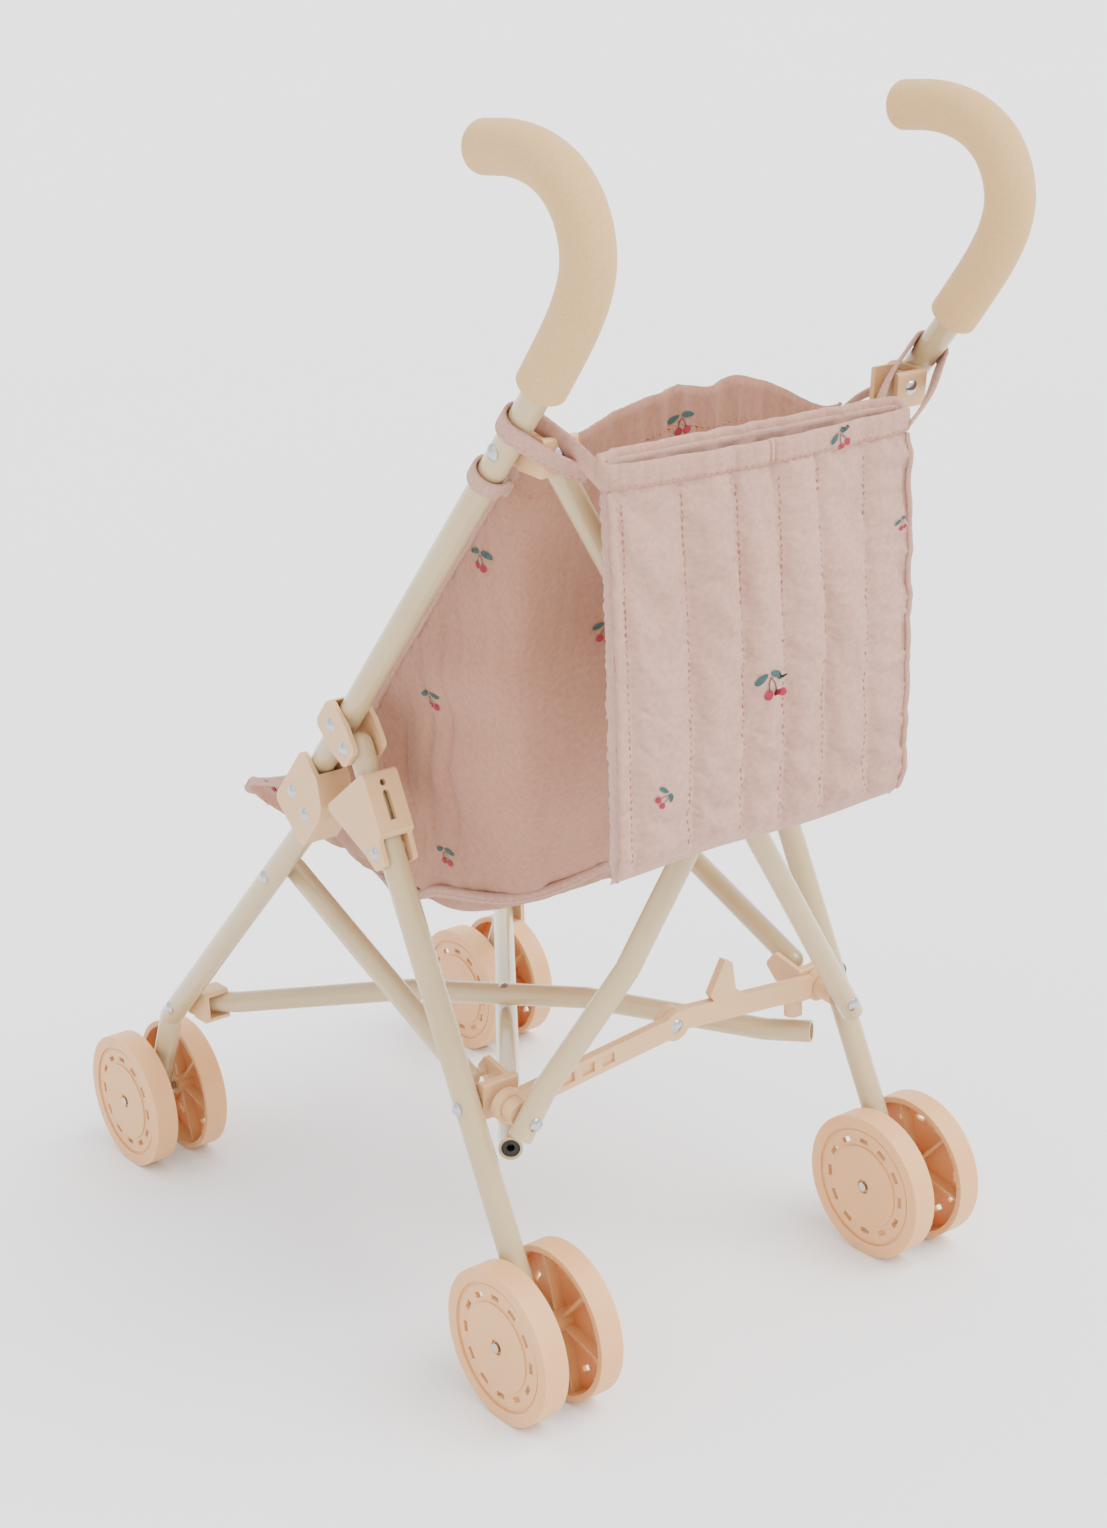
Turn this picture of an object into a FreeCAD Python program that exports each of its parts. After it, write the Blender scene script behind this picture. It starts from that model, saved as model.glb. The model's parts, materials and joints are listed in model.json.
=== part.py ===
import FreeCAD, Part
import math
import os

# Doll stroller with an umbrella fold.  +Z up, millimetres, front towards -Y, the stroller's left at +X.
# The origin is on the ground, midway between the wheels.  Each left piece is modelled once and mirrored.

V = FreeCAD.Vector
doc = FreeCAD.newDocument("doll_stroller")

DRIVING_SIZES = {
    # overall
    "leg_plane": 110.0,          # from the centre to the plane that one side's tubes fold in
    "knee_forward": 9.0,        # knee pivot, forward of the origin
    "knee_height": 251.0,
    "handle_slope": 46.33,       # degrees above level
    "handle_reach": 272.0,       # from the knee to where the cane handle starts to curve
    "leg_slope": 42.56,          # front leg, degrees below level
    "front_axle_forward": 192.0,
    "rear_axle_back": 146.0,
    # tubes
    "tube_radius": 6.0,
    "cross_radius": 5.5,
    "side_gap": 0.4,
    "pin_radius": 2.0,
    "pin_clearance": 0.06,
    "rivet_head_radius": 3.4,
    "rivet_head_height": 1.5,
    # plastic
    "plate": 2.4,
    "link_distance": 55.0,       # along the handle tube, from the knee to the rear leg's pivot
    "link_clearance": 1.0,       # between the handle tube and the rear leg, at the pivot
    "link_drop": "=2 * tube_radius + link_clearance",    # from the handle tube's axis to that pivot
    "leg_clearance": 0.8,        # between the handle tube and the front leg, at the knee
    "leg_drop": "=2 * tube_radius + leg_clearance",      # from the knee to the front leg's axis
    "strut_knee_distance": 65.0,
    "bracket_height": 130.0,
    "bracket_reach": 244.0,      # along the handle tube, from the knee to the handle bracket
    "cross_inset": 9.0,          # from a side tube's inner face to the rear cross tubes' end pins
    "cross_half": "=leg_plane - tube_radius - cross_inset",
    "cross_top_offset": 8.0,
    "cross_low_offset": 25.0,
    "cross_bow": 11.9,
    # foam
    "grip_radius": 10.5,
    "grip_clearance": 0.1,       # between the handle tube and the foam
    "grip_bore": "=tube_radius + grip_clearance",
    # wheels
    "wheel_radius": 36.0,
    "wheel_width": 12.0,
    "wheel_gap": 9.0,            # from the leg plane to the wheel's inner side
    "wheel_wall": 3.0,
    "axle_radius": 2.2,
    # soft goods
    "seat_thickness": 3.5,
    "bag_inset": 31.0,           # from the leg plane to the bag's side
    "bag_half_width": "=leg_plane - bag_inset",
    "bag_depth": 20.0,
    "bag_wall": 3.0,
    "bag_top": 420.0,
    "bag_bottom": 252.0,
    "bag_front": 177.5,
    "strap_thickness": 1.6,
    "strap_width": 10.0,
}

sheet = doc.addObject("Spreadsheet::Sheet", "Sizes")
for row, (alias, value) in enumerate(DRIVING_SIZES.items(), 1):
    sheet.set(f"A{row}", alias)
    sheet.set(f"B{row}", str(value))
    sheet.setAlias(f"B{row}", alias)
doc.recompute()


def size(alias):
    return float(sheet.get(alias))


# ---------------------------------------------------------------- side view geometry, as (y, z) pairs
class Plane2:
    """A point or direction in the side view."""

    def __init__(self, y, z):
        self.y, self.z = y, z

    def __add__(self, other):
        return Plane2(self.y + other.y, self.z + other.z)

    def __sub__(self, other):
        return Plane2(self.y - other.y, self.z - other.z)

    def __mul__(self, k):
        return Plane2(self.y * k, self.z * k)

    def length(self):
        return math.hypot(self.y, self.z)

    def unit(self):
        return self * (1.0 / self.length())

    def turned_right(self):
        """The direction 90 degrees clockwise, with y to the right."""
        return Plane2(self.z, -self.y)

    def at(self, x):
        return V(x, self.y, self.z)


def direction(degrees):
    return Plane2(math.cos(math.radians(degrees)), math.sin(math.radians(degrees)))


LEG_X = size("leg_plane")
TUBE = size("tube_radius")
CROSS = size("cross_radius")
GAP = size("side_gap")
PLATE = size("plate")
WHEEL = size("wheel_radius")
X = V(1, 0, 0)

knee = Plane2(-size("knee_forward"), size("knee_height"))
along = direction(size("handle_slope"))
below = along.turned_right()
rear_pivot = knee + along * size("link_distance") + below * size("link_drop")
rear_axle = Plane2(size("rear_axle_back"), WHEEL)
front_axle = Plane2(-size("front_axle_forward"), WHEEL)
rear_down = (rear_axle - rear_pivot).unit()
rear_front = rear_down.turned_right()
bracket_pin = rear_pivot + rear_down * ((rear_pivot.z - size("bracket_height")) / -rear_down.z)
handle_pin = knee + along * size("bracket_reach")

leg_rivet = knee + below * size("leg_drop")
leg_down = direction(180.0 + size("leg_slope"))
LEG_TOP = 6.0
CLEVIS_AT = 216.0
BEND_AT = 229.0
strut_top = leg_rivet + leg_down * size("strut_knee_distance")
clevis_pin = leg_rivet + leg_down * CLEVIS_AT
leg_bend = leg_rivet + leg_down * BEND_AT
strut_low = bracket_pin + Plane2(-15.8, 5.0)
low_end = bracket_pin + Plane2(-3.0, -25.0)
STRUT_X = LEG_X - TUBE - GAP - CROSS

# the plane of the rear cross tubes: its normal points backwards
_chord = bracket_pin - handle_pin
_lean = math.asin((size("cross_low_offset") - size("cross_top_offset")) / _chord.length())
cross_down = direction(math.degrees(math.atan2(_chord.z, _chord.y) + _lean))
cross_back = cross_down * -1.0
cross_back = cross_back.turned_right()
cross_top = handle_pin + cross_back * size("cross_top_offset")
cross_low = bracket_pin + cross_back * size("cross_low_offset")

CATCH_RIVET_AT = 48.3
catch_pin = rear_pivot + rear_down * CATCH_RIVET_AT


def on_handle(t, p, x):
    """A point t along the handle tube from the knee and p below it."""
    return (knee + along * t + below * p).at(x)


def on_rear_leg(t, q, x):
    return (rear_pivot + rear_down * t + rear_front * q).at(x)


# ---------------------------------------------------------------- building blocks
def turn_to(axis):
    return FreeCAD.Rotation(V(0, 0, 1), axis)


def value(obj, prop, amount):
    """Bind a property to the sheet when amount is an expression, or set it when it is a number."""
    if isinstance(amount, str):
        obj.setExpression(prop, amount)
    else:
        setattr(obj, prop, amount)


def rod(name, start, axis, length, radius):
    body = doc.addObject("Part::Cylinder", name)
    value(body, "Radius", radius)
    value(body, "Height", length)
    body.Placement = FreeCAD.Placement(start, turn_to(axis))
    return body


def ball(name, centre, radius):
    body = doc.addObject("Part::Sphere", name)
    value(body, "Radius", radius)
    body.Placement = FreeCAD.Placement(centre, FreeCAD.Rotation())
    return body


def block(name, corner, length, width, height, rotation=None):
    body = doc.addObject("Part::Box", name)
    value(body, "Length", length)
    value(body, "Width", width)
    value(body, "Height", height)
    body.Placement = FreeCAD.Placement(corner, rotation or FreeCAD.Rotation())
    return body


def fuse(name, pieces):
    if len(pieces) == 1:
        return pieces[0]
    body = doc.addObject("Part::MultiFuse", name)
    body.Shapes = pieces
    body.Refine = True
    return body


def cut(name, base, tool):
    body = doc.addObject("Part::Cut", name)
    body.Base = base
    body.Tool = fuse(name + "_tools", tool) if isinstance(tool, list) else tool
    body.Refine = True
    return body


def group(name, pieces):
    body = doc.addObject("Part::Compound", name)
    body.Links = pieces
    return body


def slab(name, corners, x_low, x_high, corner_radius=0.0):
    """A flat plate: the side-view outline, with rounded corners, extruded along X."""
    outline = Part.makePolygon([V(x_low, p.y, p.z) for p in corners + corners[:1]])
    if corner_radius:
        outline = rounded(outline, corner_radius)
    sketch = doc.addObject("Part::Feature", name + "_outline")
    sketch.Shape = Part.Face(outline)
    body = doc.addObject("Part::Extrusion", name)
    body.Base = sketch
    body.DirMode = "Custom"
    body.Dir = X
    body.LengthFwd = x_high - x_low
    body.Solid = True
    return body


def rounded(outline, radius):
    """Replace each corner of a closed polygon with an arc, smaller where a side is short."""
    points = [v.Point for v in outline.OrderedVertexes]
    edges = []
    ends = []
    for i, corner in enumerate(points):
        back = points[i - 1] - corner
        ahead = points[(i + 1) % len(points)] - corner
        half = back.getAngle(ahead) / 2.0
        reach = min(radius / math.tan(half), 0.45 * back.Length, 0.45 * ahead.Length)
        first = corner + back.normalize() * reach
        last = corner + ahead.normalize() * reach
        inward = (back + ahead).normalize()
        middle = corner + inward * (reach / math.cos(half) - reach * math.tan(half))
        edges.append(Part.Arc(first, middle, last).toShape())
        ends.append((first, last))
    sides = []
    for i in range(len(points)):
        sides.append(edges[i])
        sides.append(Part.makeLine(ends[i][1], ends[(i + 1) % len(points)][0]))
    return Part.Wire(sides)


def tube(name, points, radius, ball_start=False, ball_end=False):
    """A round bar along a path, with a ball at each bend."""
    pieces = []
    for i in range(len(points) - 1):
        run = points[i + 1] - points[i]
        pieces.append(rod(f"{name}_run{i}", points[i], run, run.Length, radius))
    for i in range(len(points)):
        at_start = i == 0
        at_end = i == len(points) - 1
        if (at_start and not ball_start) or (at_end and not ball_end):
            continue
        pieces.append(ball(f"{name}_ball{i}", points[i], radius))
    return fuse(name + "_bar", pieces) if len(pieces) > 1 else pieces[0]


def dome(name, seat, outward):
    """A domed rivet head that sits on a face at seat."""
    head = size("rivet_head_radius")
    rise = size("rivet_head_height")
    radius = (head * head + rise * rise) / (2.0 * rise)
    body = doc.addObject("Part::Sphere", name)
    body.Radius = radius
    body.Angle1 = math.degrees(math.asin((radius - rise) / radius))
    body.Placement = FreeCAD.Placement(seat - outward * (radius - rise), turn_to(outward))
    return body


def rivet(name, seat, outward, shank, far_head=False):
    """A rivet whose head sits at seat; its shank runs inwards."""
    outward = V(outward).normalize()
    pieces = [
        dome(name + "_head", seat, outward),
        rod(name + "_shank", seat + outward * 0.2, outward * -1.0, shank + 0.2, "Sizes.pin_radius"),
    ]
    if far_head:
        pieces.append(dome(name + "_far", seat - outward * shank, outward * -1.0))
    return fuse(name, pieces)


def pin_hole(name, point, axis, reach):
    """A running hole for a pin, reach long each way from point."""
    axis = V(axis).normalize()
    return rod(name, point - axis * reach, axis, 2.0 * reach, "Sizes.pin_radius + Sizes.pin_clearance")


finished = {}


def finish(name, body):
    body.Label = name
    finished[name] = body
    return body


def pair(name, body):
    """Keep a left piece and its mirror image on the right."""
    finish(name + "_l", body)
    twin = doc.addObject("Part::Mirroring", "Right_" + name)
    twin.Source = body
    twin.Normal = X
    finish(name + "_r", twin)


CHEEK_OUT = LEG_X + TUBE + GAP
CHEEK_IN = LEG_X - TUBE - GAP
HEAD_SEAT = CHEEK_OUT + PLATE


# ---------------------------------------------------------------- handle side
GRIP_CURVE = [(0, 0), (17.5, 19.5), (30.5, 36.0), (38.5, 56.0), (32.5, 76.5), (14.0, 90.0), (-6.0, 94.0),
              (-21.0, 94.0)]
GRIP_START = 10.0
GRIP_END_CAP = 4.0


def cane_curve():
    """The cane handle's centre line, from the end of its straight run."""
    root = knee + along * size("handle_reach")
    points = [(root + Plane2(y, z)).at(LEG_X) for y, z in GRIP_CURVE]
    curve = Part.BSplineCurve()
    curve.interpolate(points, InitialTangent=along.at(0), FinalTangent=V(0, -1, 0))
    return curve


def swept(name, edge, radius):
    spine = doc.addObject("Part::Feature", name + "_spine")
    spine.Shape = edge
    ring = doc.addObject("Part::Circle", name + "_ring")
    value(ring, "Radius", radius)
    start = edge.valueAt(edge.FirstParameter)
    ring.Placement = FreeCAD.Placement(start, turn_to(edge.tangentAt(edge.FirstParameter)))
    body = doc.addObject("Part::Sweep", name)
    body.Sections = [ring]
    body.Spine = (spine, ["Edge1"])
    body.Solid = True
    body.Frenet = False
    return body


def handle_tube():
    straight = tube("HandleRun", [on_handle(0, 0, LEG_X), on_handle(size("handle_reach"), 0, LEG_X)],
                    "Sizes.tube_radius", ball_start=True)
    curve = cane_curve()
    edge = curve.toShape()
    end = curve.parameterAtDistance(edge.Length - GRIP_END_CAP, edge.FirstParameter)
    bend = swept("HandleBend", curve.toShape(edge.FirstParameter, end), "Sizes.tube_radius")
    whole = fuse("HandleWhole", [straight, bend])
    holes = [pin_hole("HandleKneeHole", on_handle(0, 0, LEG_X), X, 20)]
    pair("handle_tube", cut("HandleTube", whole, holes))

    start = curve.parameterAtDistance(GRIP_START, edge.FirstParameter)
    foam = swept("GripFoam", curve.toShape(start, edge.LastParameter), "Sizes.grip_radius")
    cap_end = edge.valueAt(edge.LastParameter)
    bore_start = curve.parameterAtDistance(GRIP_START - 2.0, edge.FirstParameter)
    bore = swept("GripBore", curve.toShape(bore_start, end), "Sizes.grip_bore")
    dome_end = doc.addObject("Part::Ellipsoid", "GripDome")
    dome_end.Radius1 = 5.0
    value(dome_end, "Radius2", "Sizes.grip_radius")
    value(dome_end, "Radius3", "Sizes.grip_radius")
    dome_end.Placement = FreeCAD.Placement(cap_end, turn_to(V(0, -1, 0)))
    pair("grip", cut("Grip", fuse("GripWhole", [foam, dome_end]), bore))


def link_bracket():
    t = size("link_distance")
    front = -TUBE - GAP - 2.2
    low = size("link_drop") + 6.5
    corners = [(t - 9, front), (t + 10, front), (t + 10, 7), (t + 6.5, low), (t - 6.5, low), (t - 9, 10)]
    outline = [knee + along * a + below * b for a, b in corners]
    whole = slab("LinkBlock", outline, CHEEK_IN - PLATE, CHEEK_OUT + PLATE, 4.0)
    room = [(t - 30, -TUBE - GAP), (t + 30, -TUBE - GAP), (t + 30, 40), (t - 30, 40)]
    inside = slab("LinkRoom", [knee + along * a + below * b for a, b in room], CHEEK_IN, CHEEK_OUT)
    holes = [pin_hole("LinkPinHole", rear_pivot.at(LEG_X), X, 30),
             pin_hole("LinkRivetHole", on_handle(t, 0, LEG_X), X, 30)]
    pair("link_bracket", cut("LinkBracket", whole, [inside] + holes))
    seat = on_handle(t, 0, HEAD_SEAT)
    head = rivet("LinkRivet", seat, X, PLATE)
    lower = rivet("LinkPin", rear_pivot.at(HEAD_SEAT), X, HEAD_SEAT - CHEEK_IN + PLATE)
    cross = rivet("CrossPin", handle_pin.at(LEG_X + TUBE), X, 0.0)
    pair("handle_rivets", group("HandleRivets", [head, lower, cross]))


def handle_bracket():
    """A channel that tilts on the handle tube's cross pin and holds the rear cross tube's top end."""
    side = rod("BracketDisc", handle_pin.at(CHEEK_IN - PLATE), X, PLATE, 7.5)
    half = size("cross_half")
    low = size("cross_top_offset") - CROSS - GAP
    high = size("cross_top_offset") + CROSS + GAP
    outline = [handle_pin + cross_back * n + cross_down * t
               for n, t in ((low - PLATE, -7), (high + PLATE, -7), (high + PLATE, 9), (low - PLATE, 9))]
    shell = slab("BracketShell", outline, half - 8.5, CHEEK_IN, 1.5)
    room = [handle_pin + cross_back * n + cross_down * t
            for n, t in ((low, -20), (high, -20), (high, 20), (low, 20))]
    inside = slab("BracketRoom", room, half - 20, CHEEK_IN - PLATE)
    pin = rod("BracketPin", (handle_pin + cross_back * (low - PLATE)).at(half), cross_back.at(0),
              high - low + 2 * PLATE, "Sizes.pin_radius")
    head = dome("BracketHead", (handle_pin + cross_back * (high + PLATE)).at(half), cross_back.at(0))
    hole = pin_hole("BracketPinHole", handle_pin.at(half), cross_back.at(0), 20)
    whole = fuse("BracketWhole", [side, cut("BracketChannel", shell, inside)])
    pair("handle_bracket", cut("HandleBracket", whole, hole))
    pair("handle_bracket_pin", fuse("HandleBracketPin", [pin, head]))


# ---------------------------------------------------------------- legs
def hub_block():
    """The shell round the knee: two cheeks and a closed rear wall, open at the front."""
    drop = size("leg_drop") + TUBE + 2.0 * GAP
    outer = [(25, -TUBE - 1.5), (23.5, TUBE + 3.2), (15, drop), (8, drop + PLATE), (-15, drop + PLATE),
             (-15, -TUBE - 1.5)]
    whole = slab("HubWhole", [knee + along * a + below * b for a, b in outer],
                 CHEEK_IN - PLATE, CHEEK_OUT + PLATE, 4.0)
    room = [(60, -30), (60, TUBE + 0.7), (22, TUBE + 0.7), (12.5, drop - 2.0), (10.5, drop), (-60, drop),
            (-60, -30)]
    inside = slab("HubRoom", [knee + along * a + below * b for a, b in room], CHEEK_IN, CHEEK_OUT)
    holes = [pin_hole("HubKneeHole", knee.at(LEG_X), X, 30),
             pin_hole("HubRivetHole", leg_rivet.at(LEG_X), X, 30)]
    pair("hub_block", cut("HubBlock", whole, [inside] + holes))


def front_leg():
    foot = front_axle + (front_axle - leg_bend).unit() * 8.0
    path = [leg_rivet - leg_down * LEG_TOP, leg_bend, foot]
    bar = tube("FrontLegTube", [p.at(LEG_X) for p in path], "Sizes.tube_radius", ball_start=True)
    axle = rod("FrontAxleHole", front_axle.at(LEG_X - 20), X, 40, "Sizes.axle_radius")
    pair("front_leg", cut("FrontLeg", bar, axle))
    heads = [
        rivet("KneePin", knee.at(HEAD_SEAT), X, HEAD_SEAT - CHEEK_IN + PLATE),
        rivet("HubRivet", leg_rivet.at(HEAD_SEAT), X, PLATE),
        rivet("StrutRivet", strut_top.at(LEG_X + TUBE), X, 0.0),
        rivet("ClevisRivet", clevis_pin.at(LEG_X + TUBE), X, 0.0),
        rod("ClevisShank", clevis_pin.at(LEG_X - TUBE), X * -1.0, PLATE + GAP, "Sizes.pin_radius"),
    ]
    pair("front_rivets", group("FrontRivets", heads))


def rear_leg():
    foot = rear_axle + rear_down * 8.0
    bar = tube("RearLegTube", [rear_pivot.at(LEG_X), foot.at(LEG_X)], "Sizes.tube_radius", ball_start=True)
    holes = [
        rod("RearAxleHole", rear_axle.at(LEG_X - 20), X, 40, "Sizes.axle_radius"),
        pin_hole("RearTopHole", rear_pivot.at(LEG_X), X, 20),
    ]
    pair("rear_leg", cut("RearLeg", bar, holes))
    heads = [
        rivet("BracketRivet", bracket_pin.at(LEG_X + TUBE), X, 0.0),
        rod("BracketShank", bracket_pin.at(LEG_X - TUBE), X * -1.0, PLATE + 1.5, "Sizes.pin_radius"),
        rivet("CatchRivet", catch_pin.at(HEAD_SEAT), X, PLATE + GAP),
    ]
    pair("rear_rivets", group("RearRivets", heads))


def axles():
    reach = size("wheel_gap") + size("wheel_width") + 0.6
    for name, centre in (("front_axle", front_axle), ("rear_axle", rear_axle)):
        bar = rod(name + "_bar", centre.at(LEG_X - reach), X, 2 * reach, "Sizes.axle_radius")
        pair(name, bar)


def side_strut():
    bar = tube("StrutTube", [strut_top.at(STRUT_X), strut_low.at(STRUT_X)], "Sizes.cross_radius",
               ball_start=True, ball_end=True)
    pair("side_strut", cut("SideStrut", bar, pin_hole("StrutHole", strut_low.at(STRUT_X), X, 20)))


def lock_catch():
    """A channel round the rear leg; its pointed cheeks prop the hub block open."""
    low = CHEEK_IN - PLATE
    high = CHEEK_OUT + PLATE
    back = -TUBE - 3.8
    cheek = [(21, 29.5), (13, back), (42, back), (43, back + 3.0), (55, back + 3.8), (56, 3), (48, 7.5)]
    whole = slab("CatchWhole", [rear_pivot + rear_down * t + rear_front * q for t, q in cheek],
                 low, high, 2.5)
    wall = -TUBE - 1.2
    room = [(-20, 60), (-20, wall), (90, wall), (90, 60)]
    inside = slab("CatchRoom", [rear_pivot + rear_down * t + rear_front * q for t, q in room],
                  CHEEK_IN, CHEEK_OUT)
    outward = rear_front.at(0) * -1.0
    holes = [rod("CatchHole", on_rear_leg(19, -5, LEG_X), outward, 12, 1.6)]
    slot = [rear_pivot + rear_down * t + rear_front * q
            for t, q in ((24, -20), (36, -20), (36, -4), (24, -4))]
    holes.append(slab("CatchSlot", slot, LEG_X - 1.7, LEG_X + 1.7))
    holes.append(rod("CatchSlotEnd", on_rear_leg(24, -5, LEG_X), outward, 12, 1.7))
    holes.append(pin_hole("CatchPinHole", catch_pin.at(LEG_X), X, 30))
    pair("lock_catch", cut("LockCatch", whole, [inside] + holes))


def rear_bracket():
    """A bracket that tilts on the rear leg and carries the cross tube, the brace and the strut."""
    half = size("cross_half")
    back = cross_back.at(0)
    disc = rod("RearDisc", bracket_pin.at(CHEEK_IN - 4.2), X, 4.2, 8.0)
    face = [bracket_pin + cross_back * n + cross_down * t
            for n, t in ((-1.5, -9), (3.0, -9), (3.0, 9), (-1.5, 9))]
    plate = slab("RearPlate", face, half - 10.5, CHEEK_IN, 1.0)
    ear_corners = [strut_low + Plane2(-6.5, 0), strut_low + Plane2(0, 7), bracket_pin + Plane2(0, 8),
                   bracket_pin + Plane2(0, -8), strut_low + Plane2(0, -7)]
    ear = slab("RearEar", ear_corners, half - 9.0, half - 6.4, 2.0)
    ear_pin = rod("RearEarPin", strut_low.at(half - 8.0), X, 12.0, "Sizes.pin_radius")
    boss_at = Plane2(low_end.y, bracket_pin.z - 16.4)
    boss = rod("RearBoss", boss_at.at(REAR_BOSS_X), V(0, 0, 1), 14.0, 4.5)
    body = fuse("RearBracketWhole", [disc, plate, ear, ear_pin, boss])
    behind = [bracket_pin + cross_back * n + cross_down * t
              for n, t in ((3, -20), (20, -20), (20, 20), (3, 20))]
    trim = slab("RearTrim", behind, half - 20, CHEEK_IN + 1)
    pin_room = pin_hole("RearPinHole", bracket_pin.at(LEG_X), X, 20)
    pair("rear_bracket", cut("RearBracket", body, [pin_room, trim]))
    start = (bracket_pin + cross_back * 3.0).at(half)
    pin = rod("BracePin", start, back, size("cross_low_offset") - CROSS - GAP - 3.0, 2.6)
    for side, sign, spacer_from in (("l", 1, 12.2), ("r", -1, 7.8)):
        seat = bracket_pin + cross_back * spacer_from
        spacer = rod("Spacer_" + side, seat.at(half), back,
                     size("cross_low_offset") - CROSS - GAP - spacer_from, CROSS)
        whole = fuse("BraceStud_" + side, [pin, spacer])
        if sign < 0:
            twin = doc.addObject("Part::Mirroring", "Right_brace_stud")
            twin.Source = whole
            twin.Normal = X
            whole = twin
        finish("brace_stud_" + side, whole)


def front_clevis():
    """A fork that tilts on the front leg and holds the lower cross tube's front end."""
    at = clevis_pin + Plane2(9.0, 0.5)
    disc = rod("ClevisDisc", clevis_pin.at(CHEEK_IN - PLATE), X, PLATE, 7.0)
    low = CHEEK_IN - 14.0
    outline = [at + Plane2(-5, -8.3), at + Plane2(8, -8.3), at + Plane2(8, 8.3), at + Plane2(-5, 8.3)]
    shell = slab("ClevisShell", outline, low, CHEEK_IN, 1.5)
    link = slab("ClevisLink", [clevis_pin + Plane2(-4, -6), at + Plane2(8, -8.3), at + Plane2(8, 8.3),
                               clevis_pin + Plane2(-4, 6)], CHEEK_IN - PLATE, CHEEK_IN, 1.5)
    room = [at + Plane2(-30, -5.9), at + Plane2(30, -5.9), at + Plane2(30, 5.9), at + Plane2(-30, 5.9)]
    inside = slab("ClevisRoom", room, low - 10, CHEEK_IN - PLATE)
    pin = rod("ClevisPin", at.at(CLEVIS_X) + V(0, 0, -8.3), V(0, 0, 1), 16.6, "Sizes.pin_radius")
    fork = fuse("ClevisFork", [cut("ClevisChannel", shell, inside), disc, link, pin])
    pair("front_clevis", cut("FrontClevis", fork, pin_hole("ClevisHole", clevis_pin.at(LEG_X), X, 12)))


CLEVIS_X = CHEEK_IN - 9.0


# ---------------------------------------------------------------- cross tubes and brace
def rear_cross():
    """Two tubes that cross behind the seat; the second bows backwards round the first."""
    half = size("cross_half")
    back = cross_back.at(0)
    top_left, low_right = cross_top.at(half), cross_low.at(-half)
    top_right, low_left = cross_top.at(-half), cross_low.at(half)
    centre = (cross_top + cross_low) * 0.5

    def beyond(start, end, extra):
        return end + (end - start).normalize() * extra

    front = tube("RearCrossA", [top_left, beyond(top_left, low_right, 9.0)], "Sizes.cross_radius",
                 ball_start=True)
    front_holes = [
        pin_hole("CrossATop", top_left, back, 20),
        rod("CrossAEnd", beyond(top_left, low_right, 10.0), top_left - low_right, 14.0, 4.3),
    ]
    finish("rear_cross_a", cut("RearCrossFront", front, front_holes))
    bow = back * size("cross_bow")
    third = (low_left - top_right) * 0.22
    lead = V(third).normalize() * STRAIGHT_END
    path = [top_right, top_right + lead, top_right + third + bow, low_left - third + bow, low_left - lead]
    path.append(beyond(top_right, low_left, 9.0))
    rear = tube("RearCrossB", path, "Sizes.cross_radius", ball_start=True)
    rear_holes = [
        pin_hole("CrossBTop", top_right, back, 20),
        pin_hole("CrossBMiddle", centre.at(0), back, 40),
        rod("CrossBEnd", beyond(top_right, low_left, 10.0), lead * -1.0, 14.0, 4.3),
    ]
    finish("rear_cross_b", cut("RearCrossRear", rear, rear_holes))
    middle = (centre + cross_back * (size("cross_bow") + CROSS)).at(0)
    head_a = dome("CrossHeadA", low_right + back * CROSS, back)
    finish("rear_cross_a_rivets",
           group("CrossRivetsA", [head_a, rivet("CrossMiddle", middle + back * 0.3, back, 12.2)]))
    finish("rear_cross_b_rivet", dome("CrossHeadB", low_left + back * CROSS, back))


REAR_BOSS_X = size("cross_half") - 9.0
ARCH = 12.0
STRAIGHT_END = 14.0              # each bowed tube stays straight this far past its end pin


def bottom_cross():
    """Two tubes that cross under the seat; the upper one arches over the lower one."""
    front = clevis_pin + Plane2(9.0, 0.5)
    rear = low_end

    def path(side, rise):
        a = front.at(CLEVIS_X * side)
        b = rear.at(-REAR_BOSS_X * side)
        up = V(0, 0, rise)
        way = (b - a).normalize()
        bends = [a + way * STRAIGHT_END, a + (b - a) * 0.36 + up,
                 a + (b - a) * 0.66 + up, b - way * STRAIGHT_END]
        return [a] + (bends if rise else []) + [b], way

    upper, upper_way = path(1, ARCH)
    bar = tube("BottomUpper", upper[:-1] + [upper[-1] + upper_way * 9.0], "Sizes.cross_radius",
               ball_start=True)
    crossing_share = CLEVIS_X / (CLEVIS_X + REAR_BOSS_X)
    middle = front + (rear - front) * crossing_share
    finish("bottom_cross_upper", cut("BottomCrossUpper", bar, [
        pin_hole("UpperFront", upper[0], V(0, 0, 1), 20),
        rod("UpperEnd", upper[-1] + upper_way * 10.0, upper_way * -1.0, 12.0, 4.3),
    ]))
    lower, lower_way = path(-1, 0.0)
    end = lower[-1] + lower_way * 11.0
    low_bar = tube("BottomLower", [lower[0], end], "Sizes.cross_radius", ball_start=True)
    finish("bottom_cross_lower", cut("BottomCrossLower", low_bar, [
        pin_hole("LowerFront", lower[0], V(0, 0, 1), 20),
        rod("LowerEnd", end + lower_way, lower_way * -1.0, 15.0, 4.3),
    ]))
    plug = cut("PlugRing", rod("PlugBar", end - lower_way * 11.0, lower_way, 10.0, 4.2),
               rod("PlugHole", end - lower_way * 6.0, lower_way, 12.0, 1.8))
    finish("tube_plug", plug)
    head = dome("MiddleHead", middle.at(0) + V(0, 0, ARCH + CROSS - 0.8), V(0, 0, 1))
    finish("bottom_cross_rivet", cut("MiddleRivet", head, bar))


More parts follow.
